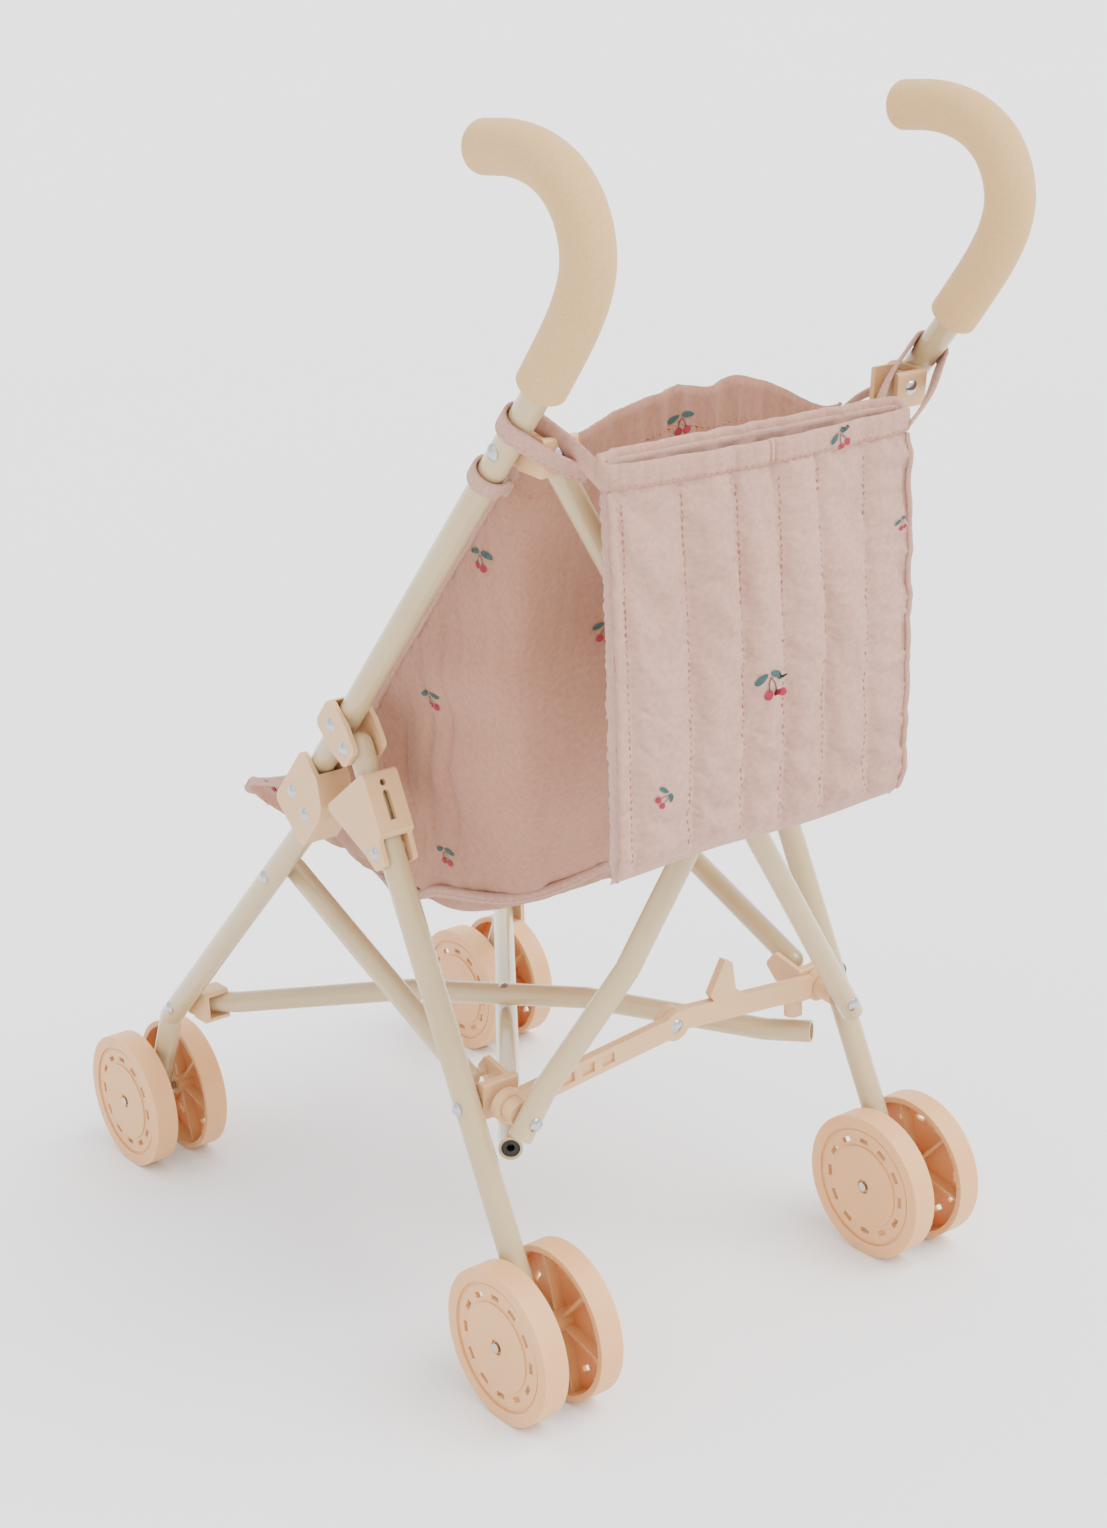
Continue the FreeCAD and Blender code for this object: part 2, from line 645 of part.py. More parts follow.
def brace():
    """Two bars with a centre pivot that lock the rear brackets apart; a tab lifts them to fold."""
    half = size("cross_half")
    rise = 10.0
    back = cross_back.at(0)
    up = cross_down.at(0) * -1.0
    layers = (("r", -1, 3.4), ("l", 1, 7.8))
    for side, sign, depth in layers:
        origin = (bracket_pin + cross_back * depth).at(half * sign)
        target = (bracket_pin + cross_back * depth).at(0) + up * rise
        run = target - origin
        way = V(run).normalize()
        across = way.cross(back) * (1 if sign < 0 else -1)
        pieces = [rod(f"BraceEnd_{side}", origin, back, 4.0, 8.0),
                  rod(f"BraceMid_{side}", target, back, 4.0, 7.5)]
        bar = doc.addObject("Part::Feature", f"BraceWeb_{side}")
        corners = [origin + across * 5.5, target + across * 5.5, target - across * 5.5, origin - across * 5.5]
        bar.Shape = Part.Face(Part.makePolygon(corners + corners[:1])).extrude(back * 4.0)
        pieces.append(bar)
        if side == "r":
            fin = doc.addObject("Part::Feature", "BraceTab")
            base = origin + way * (run.Length * 0.72)
            fin_corners = [base + across * 4, base + across * 9 + way * 4, base + across * 26 - way * 2,
                           base + across * 24 - way * 7, base + across * 9 - way * 12,
                            base + across * 4 - way * 22]
            fin.Shape = Part.Face(Part.makePolygon(fin_corners + fin_corners[:1])).extrude(back * 4.0)
            pieces.append(fin)
        whole = fuse(f"BraceWhole_{side}", pieces)
        holes = [rod(f"BraceHole_{side}", origin - back, back, 6.0, 2.66)]
        for i, share in enumerate((0.3, 0.42, 0.54)):
            a = origin + way * (run.Length * share)
            notch = doc.addObject("Part::Feature", f"BraceNotch{i}_{side}")
            square = [a + across * 2.6, a + across * 2.6 + way * 7,
                      a - across * 2.6 + way * 7, a - across * 2.6]
            notch.Shape = Part.Face(Part.makePolygon(square + square[:1])).extrude(back * 1.6)
            notch.Placement = FreeCAD.Placement(back * (-0.1 if side == "r" else 2.6), FreeCAD.Rotation())
            holes.append(notch)
        finish(f"brace_{side}", cut(f"Brace_{side}", whole, holes))
    centre = (bracket_pin + cross_back * 11.8).at(0) + up * rise
    finish("brace_rivet", dome("BraceRivet", centre, back))


# ---------------------------------------------------------------- wheels
SPOKES = 12


def wheel(name, inner_x, facing, centre):
    """One wheel; facing is +1 or -1, the way its closed decorated face points along X."""
    face = X * facing
    width = size("wheel_width")
    wall = size("wheel_wall")
    start = centre.at(inner_x)
    tyre = rod(name + "_tyre", start, face, "Sizes.wheel_width", "Sizes.wheel_radius")
    hollow = rod(name + "_hollow", start - face, face, width - wall + 1,
                 "Sizes.wheel_radius - Sizes.wheel_wall")
    groove_at = start + face * (width - 1.2)
    groove = cut(name + "_groove", rod(name + "_g1", groove_at, face, 3, 30.0),
                 rod(name + "_g2", groove_at - face, face, 5, 28.4))
    recess_at = start + face * (width - 0.8)
    recess = cut(name + "_recess", rod(name + "_r1", recess_at, face, 3, 29.0),
                 rod(name + "_r2", recess_at - face, face, 5, 20.6))
    shell = cut(name + "_shell", tyre, [hollow, groove, recess])
    hub = rod(name + "_hub", start + face * 0.4, face, width - 0.6, 5.2)
    ribs = []
    for i in range(6):
        turn = FreeCAD.Rotation(X, i * 60.0 + 15.0)
        # a thin radial rib from the hub to the rim
        corner = V(0, -0.7, 4.0)
        low = inner_x + facing * 3.5 if facing > 0 else inner_x + facing * (width - wall + 0.3)
        ribs.append(block(f"{name}_rib{i}", centre.at(low) + turn.multVec(corner), width - wall - 3.2, 1.4,
                          size("wheel_radius") - wall - 3.6, turn))
    body = fuse(name + "_whole", [shell, hub] + ribs)
    holes = [rod(name + "_bore", start - face * 2, face, width + 4,
                 "Sizes.axle_radius + Sizes.pin_clearance"),
             rod(name + "_sink", start + face * (width - 1.4), face, 3, 3.6)]
    for i in range(SPOKES):
        turn = FreeCAD.Rotation(X, i * 360.0 / SPOKES)
        low = inner_x + (facing * (width - wall - 0.5) if facing > 0 else -(width + 0.5))
        holes.append(block(f"{name}_slot{i}", centre.at(low) + turn.multVec(V(0, -2.8, 22.5)),
                           wall + 1.0, 5.6, 2.6, turn))
    finish(name, cut(name + "_cut", body, holes))


def wheels():
    gap = size("wheel_gap")
    for end, centre in (("front", front_axle), ("rear", rear_axle)):
        for side, sign in (("l", 1), ("r", -1)):
            wheel(f"wheel_{end}_{side}_outer", sign * (LEG_X + gap), sign, centre)
            wheel(f"wheel_{end}_{side}_inner", sign * (LEG_X - gap), -sign, centre)


# ---------------------------------------------------------------- soft goods
def seat():
    """The seat sling as a plain bucket: back, bottom and two side wings."""
    thick = size("seat_thickness")
    wing_x = CHEEK_IN - PLATE - 10.5 - GAP
    inner = wing_x - thick
    back = [Plane2(145, 424), Plane2(100, 300), Plane2(88, 226)]
    base = [Plane2(44, 203), Plane2(-26, 210), Plane2(-110, 220)]
    centre_line = back + base
    outer, inside = [], []
    for i, p in enumerate(centre_line):
        a = centre_line[max(i - 1, 0)]
        b = centre_line[min(i + 1, len(centre_line) - 1)]
        side = (b - a).unit().turned_right()
        outer.append(p)
        inside.append(p + side * thick)
    shell = slab("SeatShell", outer + inside[::-1], -wing_x, wing_x)
    wing = [Plane2(145, 424), Plane2(26, 276), Plane2(-110, 222)] + [centre_line[i] for i in (5, 4, 3, 2, 1)]
    wings = [slab("SeatWingLeft", wing, inner, wing_x), slab("SeatWingRight", wing, -wing_x, -inner)]
    finish("seat_sling", fuse("SeatSling", [shell] + wings))


def bag():
    """The hanging bag: a flat pouch that is open at the top."""
    half = size("bag_half_width")
    depth = size("bag_depth")
    wall = size("bag_wall")
    low, high = size("bag_bottom"), size("bag_top")
    outer = block("BagOuter", V(-half, size("bag_front"), low), "2 * Sizes.bag_half_width",
                  "Sizes.bag_depth", "Sizes.bag_top - Sizes.bag_bottom")
    inside = block("BagInside", V(-half + wall, size("bag_front") + wall, low + wall), 2 * (half - wall),
                   depth - 2 * wall, high - low)
    finish("bag", cut("Bag", outer, inside))
    thick = size("strap_thickness")
    reach = size("bracket_reach") + 15.5
    start = on_handle(reach, 0, LEG_X)
    ring = cut("StrapRing", rod("StrapOuter", start, along.at(0), size("strap_width"), TUBE + 0.5 + thick),
               rod("StrapInner", start - along.at(0), along.at(0), size("strap_width") + 2, TUBE + 0.5))
    root = on_handle(reach + size("strap_width") / 2, TUBE + 0.6, LEG_X)
    target = V(half + GAP + thick, size("bag_front") + depth / 2, high - 9.0)
    band = doc.addObject("Part::Feature", "StrapBand")
    wide = along.at(0) * (size("strap_width") / 2)
    corners = [root + wide, root - wide, target - wide, target + wide]
    lean = (root - target).cross(wide).normalize() * thick
    if lean.dot(below.at(0)) < 0:
        lean = lean * -1.0
    band.Shape = Part.Face(Part.makePolygon(corners + corners[:1])).extrude(lean)
    pair("bag_strap", fuse("BagStrap", [ring, band]))


handle_tube()
link_bracket()
handle_bracket()
hub_block()
front_leg()
rear_leg()
axles()
side_strut()
lock_catch()
rear_bracket()
front_clevis()
rear_cross()
bottom_cross()
brace()
wheels()
seat()
bag()
doc.recompute()

broken = [item.Name for item in doc.Objects if "Invalid" in item.State or "Error" in item.State]
if broken:
    raise RuntimeError(f"these did not build: {broken}")
os.makedirs("parts", exist_ok=True)
for name, body in finished.items():
    if body.Shape.isNull() or not body.Shape.isValid() or not body.Shape.Solids:
        raise RuntimeError(f"{name} has no valid solid")
    body.Shape.exportStep(f"parts/{name}.step")
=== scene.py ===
import json
import math

import bmesh
import bpy
import numpy as np
from mathutils import Matrix, Vector
from mathutils.bvhtree import BVHTree

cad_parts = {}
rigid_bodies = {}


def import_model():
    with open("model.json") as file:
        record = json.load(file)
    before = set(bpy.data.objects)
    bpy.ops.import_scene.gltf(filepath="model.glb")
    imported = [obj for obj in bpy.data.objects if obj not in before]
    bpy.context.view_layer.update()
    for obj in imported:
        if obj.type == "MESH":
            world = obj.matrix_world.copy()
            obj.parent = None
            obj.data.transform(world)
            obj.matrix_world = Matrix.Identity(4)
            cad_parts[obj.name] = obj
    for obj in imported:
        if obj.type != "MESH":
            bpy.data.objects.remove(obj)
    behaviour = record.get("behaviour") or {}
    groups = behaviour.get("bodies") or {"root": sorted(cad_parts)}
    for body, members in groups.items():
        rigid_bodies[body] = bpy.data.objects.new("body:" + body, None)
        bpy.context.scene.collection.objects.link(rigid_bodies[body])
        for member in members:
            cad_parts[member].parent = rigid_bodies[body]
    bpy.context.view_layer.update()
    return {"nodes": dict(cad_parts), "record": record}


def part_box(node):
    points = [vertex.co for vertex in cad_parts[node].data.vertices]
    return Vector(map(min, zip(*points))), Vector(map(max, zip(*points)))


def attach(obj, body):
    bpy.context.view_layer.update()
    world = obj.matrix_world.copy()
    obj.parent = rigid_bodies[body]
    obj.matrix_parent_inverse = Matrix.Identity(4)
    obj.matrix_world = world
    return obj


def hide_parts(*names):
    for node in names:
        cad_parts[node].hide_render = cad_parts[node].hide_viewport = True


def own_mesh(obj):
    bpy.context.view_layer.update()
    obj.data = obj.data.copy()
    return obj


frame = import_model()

NODES = frame["nodes"]


# ---------------------------------------------------------------- materials
def material(name):
    """A new node material, its node adder, its linker and its surface shader."""
    mat = bpy.data.materials.new(name)
    mat.use_nodes = True
    tree = mat.node_tree
    shader = tree.nodes["Principled BSDF"]

    def add(kind, **values):
        node = tree.nodes.new("ShaderNode" + kind)
        for key, v in values.items():
            if key.startswith("in_"):
                node.inputs[key[3:].replace("_", " ")].default_value = v
            else:
                setattr(node, key, v)
        return node

    return mat, add, tree.links.new, shader


def ramp(add, link, source, stops):
    node = add("ValToRGB")
    elements = node.color_ramp.elements
    while len(elements) < len(stops):
        elements.new(0.5)
    for element, (at, colour) in zip(elements, stops):
        element.position = at
        element.color = (*colour, 1)
    link(source, node.inputs["Fac"])
    return node.outputs["Color"]


def bump(add, link, shader, height, strength, distance):
    node = add("Bump", in_Strength=strength, in_Distance=distance)
    link(height, node.inputs["Height"])
    link(node.outputs["Normal"], shader.inputs["Normal"])


def speckled(name, dark, light, scale, rough, bump_scale, bump_strength, bump_distance, coat=0.0, metal=0.0,
             sub=0.0):
    """A hard finish: two close colours in a soft noise, a fine grain and a roughness that wanders."""
    mat, add, link, shader = material(name)
    place = add("TexCoord").outputs["Object"]
    cloud = add("TexNoise", in_Scale=scale, in_Detail=4.0)
    link(place, cloud.inputs["Vector"])
    link(ramp(add, link, cloud.outputs["Fac"], [(0.3, dark), (0.7, light)]), shader.inputs["Base Color"])
    link(ramp(add, link, cloud.outputs["Fac"], [(0.25, (rough[0],) * 3), (0.75, (rough[1],) * 3)]),
         shader.inputs["Roughness"])
    grain = add("TexNoise", in_Scale=bump_scale, in_Detail=3.0)
    link(place, grain.inputs["Vector"])
    bump(add, link, shader, grain.outputs["Fac"], bump_strength, bump_distance)
    shader.inputs["Coat Weight"].default_value = coat
    shader.inputs["Coat Roughness"].default_value = 0.12
    shader.inputs["Metallic"].default_value = metal
    shader.inputs["Subsurface Weight"].default_value = sub
    shader.inputs["Subsurface Radius"].default_value = (0.006, 0.0035, 0.0018)
    shader.inputs["Subsurface Scale"].default_value = 1.0
    return mat


def foam():
    """Closed-cell foam: matt, with a fine pitted skin, its pits painted darker as shade."""
    mat, add, link, shader = material("foam")
    place = add("TexCoord").outputs["Object"]
    cells = add("TexVoronoi", in_Scale=2400.0)
    link(place, cells.inputs["Vector"])
    cloud = add("TexNoise", in_Scale=1700.0, in_Detail=4.0)
    link(place, cloud.inputs["Vector"])
    pits = add("MixRGB", blend_type="MULTIPLY", in_Fac=0.6)
    link(cells.outputs["Distance"], pits.inputs["Color1"])
    link(cloud.outputs["Fac"], pits.inputs["Color2"])
    # painted shade: the same height that dents the pits darkens their colour
    colour = ramp(add, link, pits.outputs["Color"], [(0.02, FOAM_PIT_SHADE), (0.35, FOAM_LIGHT)])
    link(colour, shader.inputs["Base Color"])
    bump(add, link, shader, pits.outputs["Color"], 0.35, 0.0002)
    shader.inputs["Roughness"].default_value = 0.92
    shader.inputs["Sheen Weight"].default_value = 0.15
    return mat


def cotton(name, dark, light):
    """Plain-woven cotton: crossed threads on the cloth's own grain, slubs, and broad uneven fading."""
    mat, add, link, shader = material(name)
    coords = add("TexCoord")
    grain = coords.outputs["UV"]
    threads = []
    for direction in ("X", "Y"):
        wave = add("TexWave", wave_type="BANDS", bands_direction=direction, in_Scale=THREADS,
                   in_Distortion=1.2, in_Detail=2.0)
        wave.inputs["Detail Scale"].default_value = 0.5
        link(grain, wave.inputs["Vector"])
        threads.append(wave.outputs["Fac"])
    weave = add("Math", operation="MULTIPLY")
    link(threads[0], weave.inputs[0])
    link(threads[1], weave.inputs[1])
    slub = add("TexNoise", in_Scale=420.0, in_Detail=5.0)
    link(grain, slub.inputs["Vector"])
    fade = add("TexNoise", in_Scale=16.0, in_Detail=3.0)
    link(coords.outputs["Object"], fade.inputs["Vector"])
    broad = ramp(add, link, fade.outputs["Fac"], [(0.3, dark), (0.7, light)])
    fine = ramp(add, link, slub.outputs["Fac"], [(0.3, (0.86, 0.85, 0.85)), (0.7, (1.06, 1.06, 1.06))])
    tint = add("MixRGB", blend_type="MULTIPLY", in_Fac=1.0)
    link(broad, tint.inputs["Color1"])
    link(fine, tint.inputs["Color2"])
    gaps = ramp(add, link, weave.outputs["Value"], [(0.0, (0.84, 0.82, 0.82)), (0.6, (1.03, 1.03, 1.03))])
    woven = add("MixRGB", blend_type="MULTIPLY", in_Fac=0.8)
    link(tint.outputs["Color"], woven.inputs["Color1"])
    link(gaps, woven.inputs["Color2"])
    link(woven.outputs["Color"], shader.inputs["Base Color"])
    crumple = add("TexNoise", in_Scale=70.0, in_Detail=4.0)
    link(coords.outputs["Object"], crumple.inputs["Vector"])
    both = add("Math", operation="MULTIPLY_ADD")
    both.inputs[1].default_value = 0.6
    link(weave.outputs["Value"], both.inputs[0])
    link(crumple.outputs["Fac"], both.inputs[2])
    bump(add, link, shader, both.outputs["Value"], 0.30, 0.0007)
    shader.inputs["Roughness"].default_value = 0.88
    shader.inputs["Sheen Weight"].default_value = 0.12
    shader.inputs["Sheen Roughness"].default_value = 0.5
    return mat


THREADS = 900.0
# the first foam colour is the painted shade in the foam's pits
FOAM_PIT_SHADE, FOAM_LIGHT = (0.42, 0.245, 0.090), (0.655, 0.405, 0.170)
PAINT = speckled("paint", (0.500, 0.370, 0.190), (0.545, 0.405, 0.212), 30, (0.20, 0.28), 1400, 0.04,
                 0.0002, coat=0.5)
PLASTIC = speckled("plastic", (0.665, 0.405, 0.20), (0.71, 0.44, 0.225), 45, (0.40, 0.52), 2600, 0.12, 0.0002,
                   sub=0.12)
# the wheels' own orange plastic, made brighter and more saturated as painted glow of light passing through it
WHEEL_TONE_AND_GLOW = speckled("wheel_plastic", (0.70, 0.375, 0.155), (0.75, 0.41, 0.18), 35, (0.42, 0.56), 2200, 0.12,
                 0.0002, sub=0.35)
CHROME = speckled("chrome", (0.42, 0.43, 0.45), (0.52, 0.53, 0.55), 300, (0.08, 0.2), 1200, 0.04,
                  0.0001, metal=1.0)
BLACK = speckled("plug_black", (0.012, 0.012, 0.013), (0.02, 0.02, 0.021), 200, (0.4, 0.6), 1500, 0.1, 0.0002)
FOAM = foam()
CLOTH = cotton("cotton_blush", (0.545, 0.315, 0.235), (0.590, 0.350, 0.268))
TRIM = cotton("cotton_trim", (0.520, 0.290, 0.212), (0.565, 0.325, 0.242))
# painted shade: the seat sling is the bag's cotton painted darker and more saturated, standing in for the
# shade and bounced light between the sling's faces
SLING_SHADED = cotton("cotton_sling_shaded", (0.445, 0.215, 0.135), (0.490, 0.248, 0.162))
THREAD = speckled("thread", (0.40, 0.15, 0.105), (0.50, 0.21, 0.15), 900, (0.7, 0.9), 4000, 0.3, 0.0002)
CHERRY = speckled("print_red", (0.24, 0.012, 0.03), (0.36, 0.02, 0.045), 500, (0.75, 0.9), 3500, 0.3, 0.0002)
LEAF = speckled("print_green", (0.028, 0.07, 0.066), (0.04, 0.10, 0.09), 500, (0.75, 0.9), 3500, 0.3, 0.0002)
STEM = speckled("print_stem", (0.10, 0.03, 0.035), (0.13, 0.05, 0.05), 500, (0.75, 0.9), 3500, 0.3, 0.0002)

FINISH = {"tube_paint": PAINT, "plastic": PLASTIC, "wheel_plastic": WHEEL_TONE_AND_GLOW, "grip_foam": FOAM,
          "chrome": CHROME, "tube_plug": BLACK, "cotton": CLOTH}
for part in frame["record"]["subparts"]:
    mesh = NODES[part["node"]].data
    mesh.materials.clear()
    mesh.materials.append(FINISH[part["material_slot"]])


# ---------------------------------------------------------------- mesh helpers
def spline(points, count):
    """count points on a smooth curve through these points, evenly spread over its length."""
    p = np.array(points, float)
    ext = np.vstack([2 * p[0] - p[1], p, 2 * p[-1] - p[-2]])
    out = []
    for i in range(1, len(ext) - 2):
        for t in np.linspace(0, 1, 24, endpoint=False):
            a, b, c, d = ext[i - 1:i + 3]
            out.append(0.5 * (2 * b + (c - a) * t + (2 * a - 5 * b + 4 * c - d) * t ** 2
                              + (3 * b - a - 3 * c + d) * t ** 3))
    out.append(p[-1])
    return even(out, count)


def even(points, count):
    p = np.array(points, float)
    run = np.concatenate([[0], np.cumsum(np.linalg.norm(np.diff(p, axis=0), axis=1))])
    at = np.linspace(0, run[-1], count)
    return np.stack([np.interp(at, run, p[:, k]) for k in range(3)], 1)


def piece(name, mesh, mat, body):
    obj = bpy.data.objects.new(name, mesh)
    bpy.context.scene.collection.objects.link(obj)
    mesh.materials.append(mat)
    for face in mesh.polygons:
        face.use_smooth = True
    obj["rides"] = body
    return obj


def grid(name, points, mat, body, closed=False, cap=False):
    """A mesh over an array of rows by columns by 3, with its own lengths as UVs in metres."""
    rows, cols = points.shape[:2]
    wrap = cols if closed else cols - 1
    faces = [(r * cols + c, r * cols + (c + 1) % cols, (r + 1) * cols + (c + 1) % cols, (r + 1) * cols + c)
             for r in range(rows - 1) for c in range(wrap)]
    mesh = bpy.data.meshes.new(name)
    mesh.from_pydata([tuple(p) for p in points.reshape(-1, 3)], [], faces)
    step_u = np.linalg.norm(np.diff(points, axis=1), axis=2).mean()
    step_v = np.linalg.norm(np.diff(points, axis=0), axis=2).mean()
    uv = mesh.uv_layers.new(name="grain")
    for face, (r, c) in zip(mesh.polygons, ((r, c) for r in range(rows - 1) for c in range(wrap))):
        for loop, (dr, dc) in zip(face.loop_indices, ((0, 0), (0, 1), (1, 1), (1, 0))):
            uv.data[loop].uv = ((c + dc) * step_u, (r + dr) * step_v)
    return piece(name, mesh, mat, body)


def thicken(obj, thickness, offset=0.0):
    mod = obj.modifiers.new("thickness", "SOLIDIFY")
    mod.thickness = thickness
    mod.offset = offset
    return obj


def coords(obj):
    co = np.zeros(len(obj.data.vertices) * 3)
    obj.data.vertices.foreach_get("co", co)
    return co.reshape(-1, 3)


def put(obj, co):
    obj.data.vertices.foreach_set("co", co.ravel())
    obj.data.update()


def simulate(obj, pin, cap, frames=20, gravity=1.0, grow=0.0, pressure=0.0, mass=0.15, bend=0.4):
    """Drapes or puffs obj with Cloth. pin holds its points, and cap limits how far any of them goes."""
    before = coords(obj)
    group = obj.vertex_groups.new(name="pin")
    for i, w in enumerate(pin):
        if w > 0:
            group.add([i], float(w), "REPLACE")
    mod = obj.modifiers.new("cloth", "CLOTH")
    s = mod.settings
    s.quality = 6
    s.mass = mass
    s.tension_stiffness = 25
    s.compression_stiffness = 25
    s.shear_stiffness = 12
    s.bending_stiffness = bend
    s.vertex_group_mass = "pin"
    s.pin_stiffness = 1.0
    s.shrink_min = -grow
    s.effector_weights.gravity = gravity
    if pressure:
        s.use_pressure = True
        s.uniform_pressure_force = pressure
    mod.point_cache.frame_start = 1
    mod.point_cache.frame_end = frames
    for at in range(1, frames + 1):
        bpy.context.scene.frame_set(at)
    dg = bpy.context.evaluated_depsgraph_get()
    shown = obj.evaluated_get(dg)
    after = np.zeros(len(before) * 3)
    shown.data.vertices.foreach_get("co", after)
    obj.modifiers.remove(mod)
    bpy.context.scene.frame_set(1)
    move = after.reshape(-1, 3) - before
    far = np.linalg.norm(move, axis=1, keepdims=True)
    move *= np.minimum(1, cap / np.maximum(far, 1e-9))
    put(obj, before + move)


def tree_of(*objs):
    """The finished surface of these pieces, to lay stitches and prints on."""
    dg = bpy.context.evaluated_depsgraph_get()
    bm = bmesh.new()
    for obj in objs:
        bm.from_mesh(obj.evaluated_get(dg).to_mesh())
    found = BVHTree.FromBMesh(bm)
    bm.free()
    return found


def tiny(bm, a, b, up, radius):
    """A thread's visible stitch, a small six-sided bead from a to b."""
    along = (b - a).normalized()
    side = along.cross(up).normalized()
    lift = side.cross(along)
    rings = []
    for t, k in ((0.0, 0.35), (0.2, 1.0), (0.8, 1.0), (1.0, 0.35)):
        centre = a.lerp(b, t)
        rings.append([bm.verts.new(centre + (side * math.cos(q) + lift * math.sin(q)) * radius * k)
                      for q in np.linspace(0, 2 * math.pi, 6, endpoint=False)])
    for r0, r1 in zip(rings, rings[1:]):
        for i in range(6):
            bm.faces.new((r0[i], r0[(i + 1) % 6], r1[(i + 1) % 6], r1[i]))
    bm.faces.new(rings[0][::-1])
    bm.faces.new(rings[-1])


def stitches(name, lines, surface, body, length=0.0021, gap=0.0011, radius=0.00033):
    """Runs of stitches along these lines, laid on the surface."""
    bm = bmesh.new()
    for line in lines:
        line = np.array(line, float)
        run = np.linalg.norm(np.diff(line, axis=0), axis=1).sum()
        count = max(2, int(run / (length + gap)))
        ends = even(line, 2 * count)
        for k in range(count):
            a, na = surface.find_nearest(Vector(ends[2 * k]))[:2]
            b = surface.find_nearest(Vector(ends[2 * k + 1]))[0]
            if (b - a).length > 1e-4:
                na = na if na.dot(Vector(ends[2 * k]) - a) >= 0 else -na
                tiny(bm, a + na * radius * 0.3, b + na * radius * 0.3, na, radius)
    mesh = bpy.data.meshes.new(name)
    bm.to_mesh(mesh)
    bm.free()
    return piece(name, mesh, THREAD, body)


def ribbon(name, path, across, width, thickness, body, mat=None):
    """A flat strap along a path, with rounded edges. across gives its width's direction at each point."""
    p = np.array(path, float)
    w = np.array(across, float)
    w /= np.linalg.norm(w, axis=1, keepdims=True)
    along = np.gradient(p, axis=0)
    along /= np.linalg.norm(along, axis=1, keepdims=True)
    out = np.cross(along, w)
    out /= np.linalg.norm(out, axis=1, keepdims=True)
    h, t = width / 2, thickness / 2
    outline = [(-h, 0), (-h + t * 0.6, t), (-h + 2.2 * t, t * 0.75), (0, t), (h - 2.2 * t, t * 0.75),
               (h - t * 0.6, t), (h, 0), (h - t * 0.6, -t), (0, -t), (-h + t * 0.6, -t)]
    ring = np.stack([p + w * a + out * b for a, b in outline], 1)
    obj = grid(name, ring, mat or TRIM, body, closed=True)
    cols = len(outline)
    bm = bmesh.new()
    bm.from_mesh(obj.data)
    bm.verts.ensure_lookup_table()
    bm.faces.new([bm.verts[i] for i in range(cols)][::-1])
    bm.faces.new([bm.verts[(len(p) - 1) * cols + i] for i in range(cols)])
    bmesh.ops.recalc_face_normals(bm, faces=bm.faces)
    bm.to_mesh(obj.data)
    bm.free()
    for face in obj.data.polygons:
        face.use_smooth = True
    sub = obj.modifiers.new("smooth", "SUBSURF")
    sub.levels = sub.render_levels = 1
    return obj


def motif(name, places, surface, body):
    """Small prints of two cherries and two leaves, just over the cloth, at (point, up, turn, scale)."""
    shapes = {"red": [], "green": [], "stem": []}

    def disc(kind, cx, cz, rx, rz, angle, points=18):
        ring = []
        for q in np.linspace(0, 2 * math.pi, points, endpoint=False):
            x, z = rx * math.cos(q), rz * math.sin(q) * (1 - 0.25 * math.cos(q) * (kind == "green"))
            ring.append((cx + x * math.cos(angle) - z * math.sin(angle),
                         cz + x * math.sin(angle) + z * math.cos(angle)))
        shapes[kind].append(ring)

    disc("red", -2.0, -3.6, 1.75, 1.6, 0.1)
    disc("red", 2.1, -3.9, 1.8, 1.65, -0.15)
    disc("green", -3.5, 2.1, 3.0, 1.25, 0.35)
    disc("green", 3.4, 2.3, 3.1, 1.3, -0.35)
    for x0, x1 in ((-0.1, -1.8), (0.1, 1.8)):
        shapes["stem"].append([(x0 - 0.2, 1.9), (x0 + 0.2, 1.9), (x1 * 0.75 + 0.2, 0.0), (x1 + 0.22, -2.4),
                               (x1 - 0.18, -2.4), (x1 * 0.75 - 0.2, 0.0)])
    made = []
    for kind, mat in (("red", CHERRY), ("green", LEAF), ("stem", STEM)):
        bm = bmesh.new()
        for point, up, turn, scale in places:
            hit, normal = surface.find_nearest(Vector(point))[:2]
            normal = normal if normal.dot(Vector(point) - hit) >= 0 else -normal
            side = Vector(up).cross(normal).normalized()
            top = normal.cross(side)
            side, top = (side * math.cos(turn) + top * math.sin(turn),
                         top * math.cos(turn) - side * math.sin(turn))
            for ring in shapes[kind]:
                verts = []
                centre = np.mean(ring, axis=0)
                inner = [tuple(centre + (np.array(q) - centre) * 0.5) for q in ring]
                for a, b in ring + inner + [tuple(centre)]:
                    at = hit + (side * a + top * b) * 0.001 * scale
                    on = surface.ray_cast(at + normal * 0.006, -normal, 0.012)[0]
                    on = at if on is None else on
                    verts.append(bm.verts.new(on + normal * (0.0005 if kind != "stem" else 0.0006)))
                count = len(ring)
                for i in range(count):
                    k = (i + 1) % count
                    bm.faces.new((verts[i], verts[k], verts[count + k], verts[count + i]))
                    bm.faces.new((verts[count + i], verts[count + k], verts[-1]))
        mesh = bpy.data.meshes.new(name + "_" + kind)
        bm.to_mesh(mesh)
        bm.free()
        made.append(piece(name + "_" + kind, mesh, mat, body))
    return made


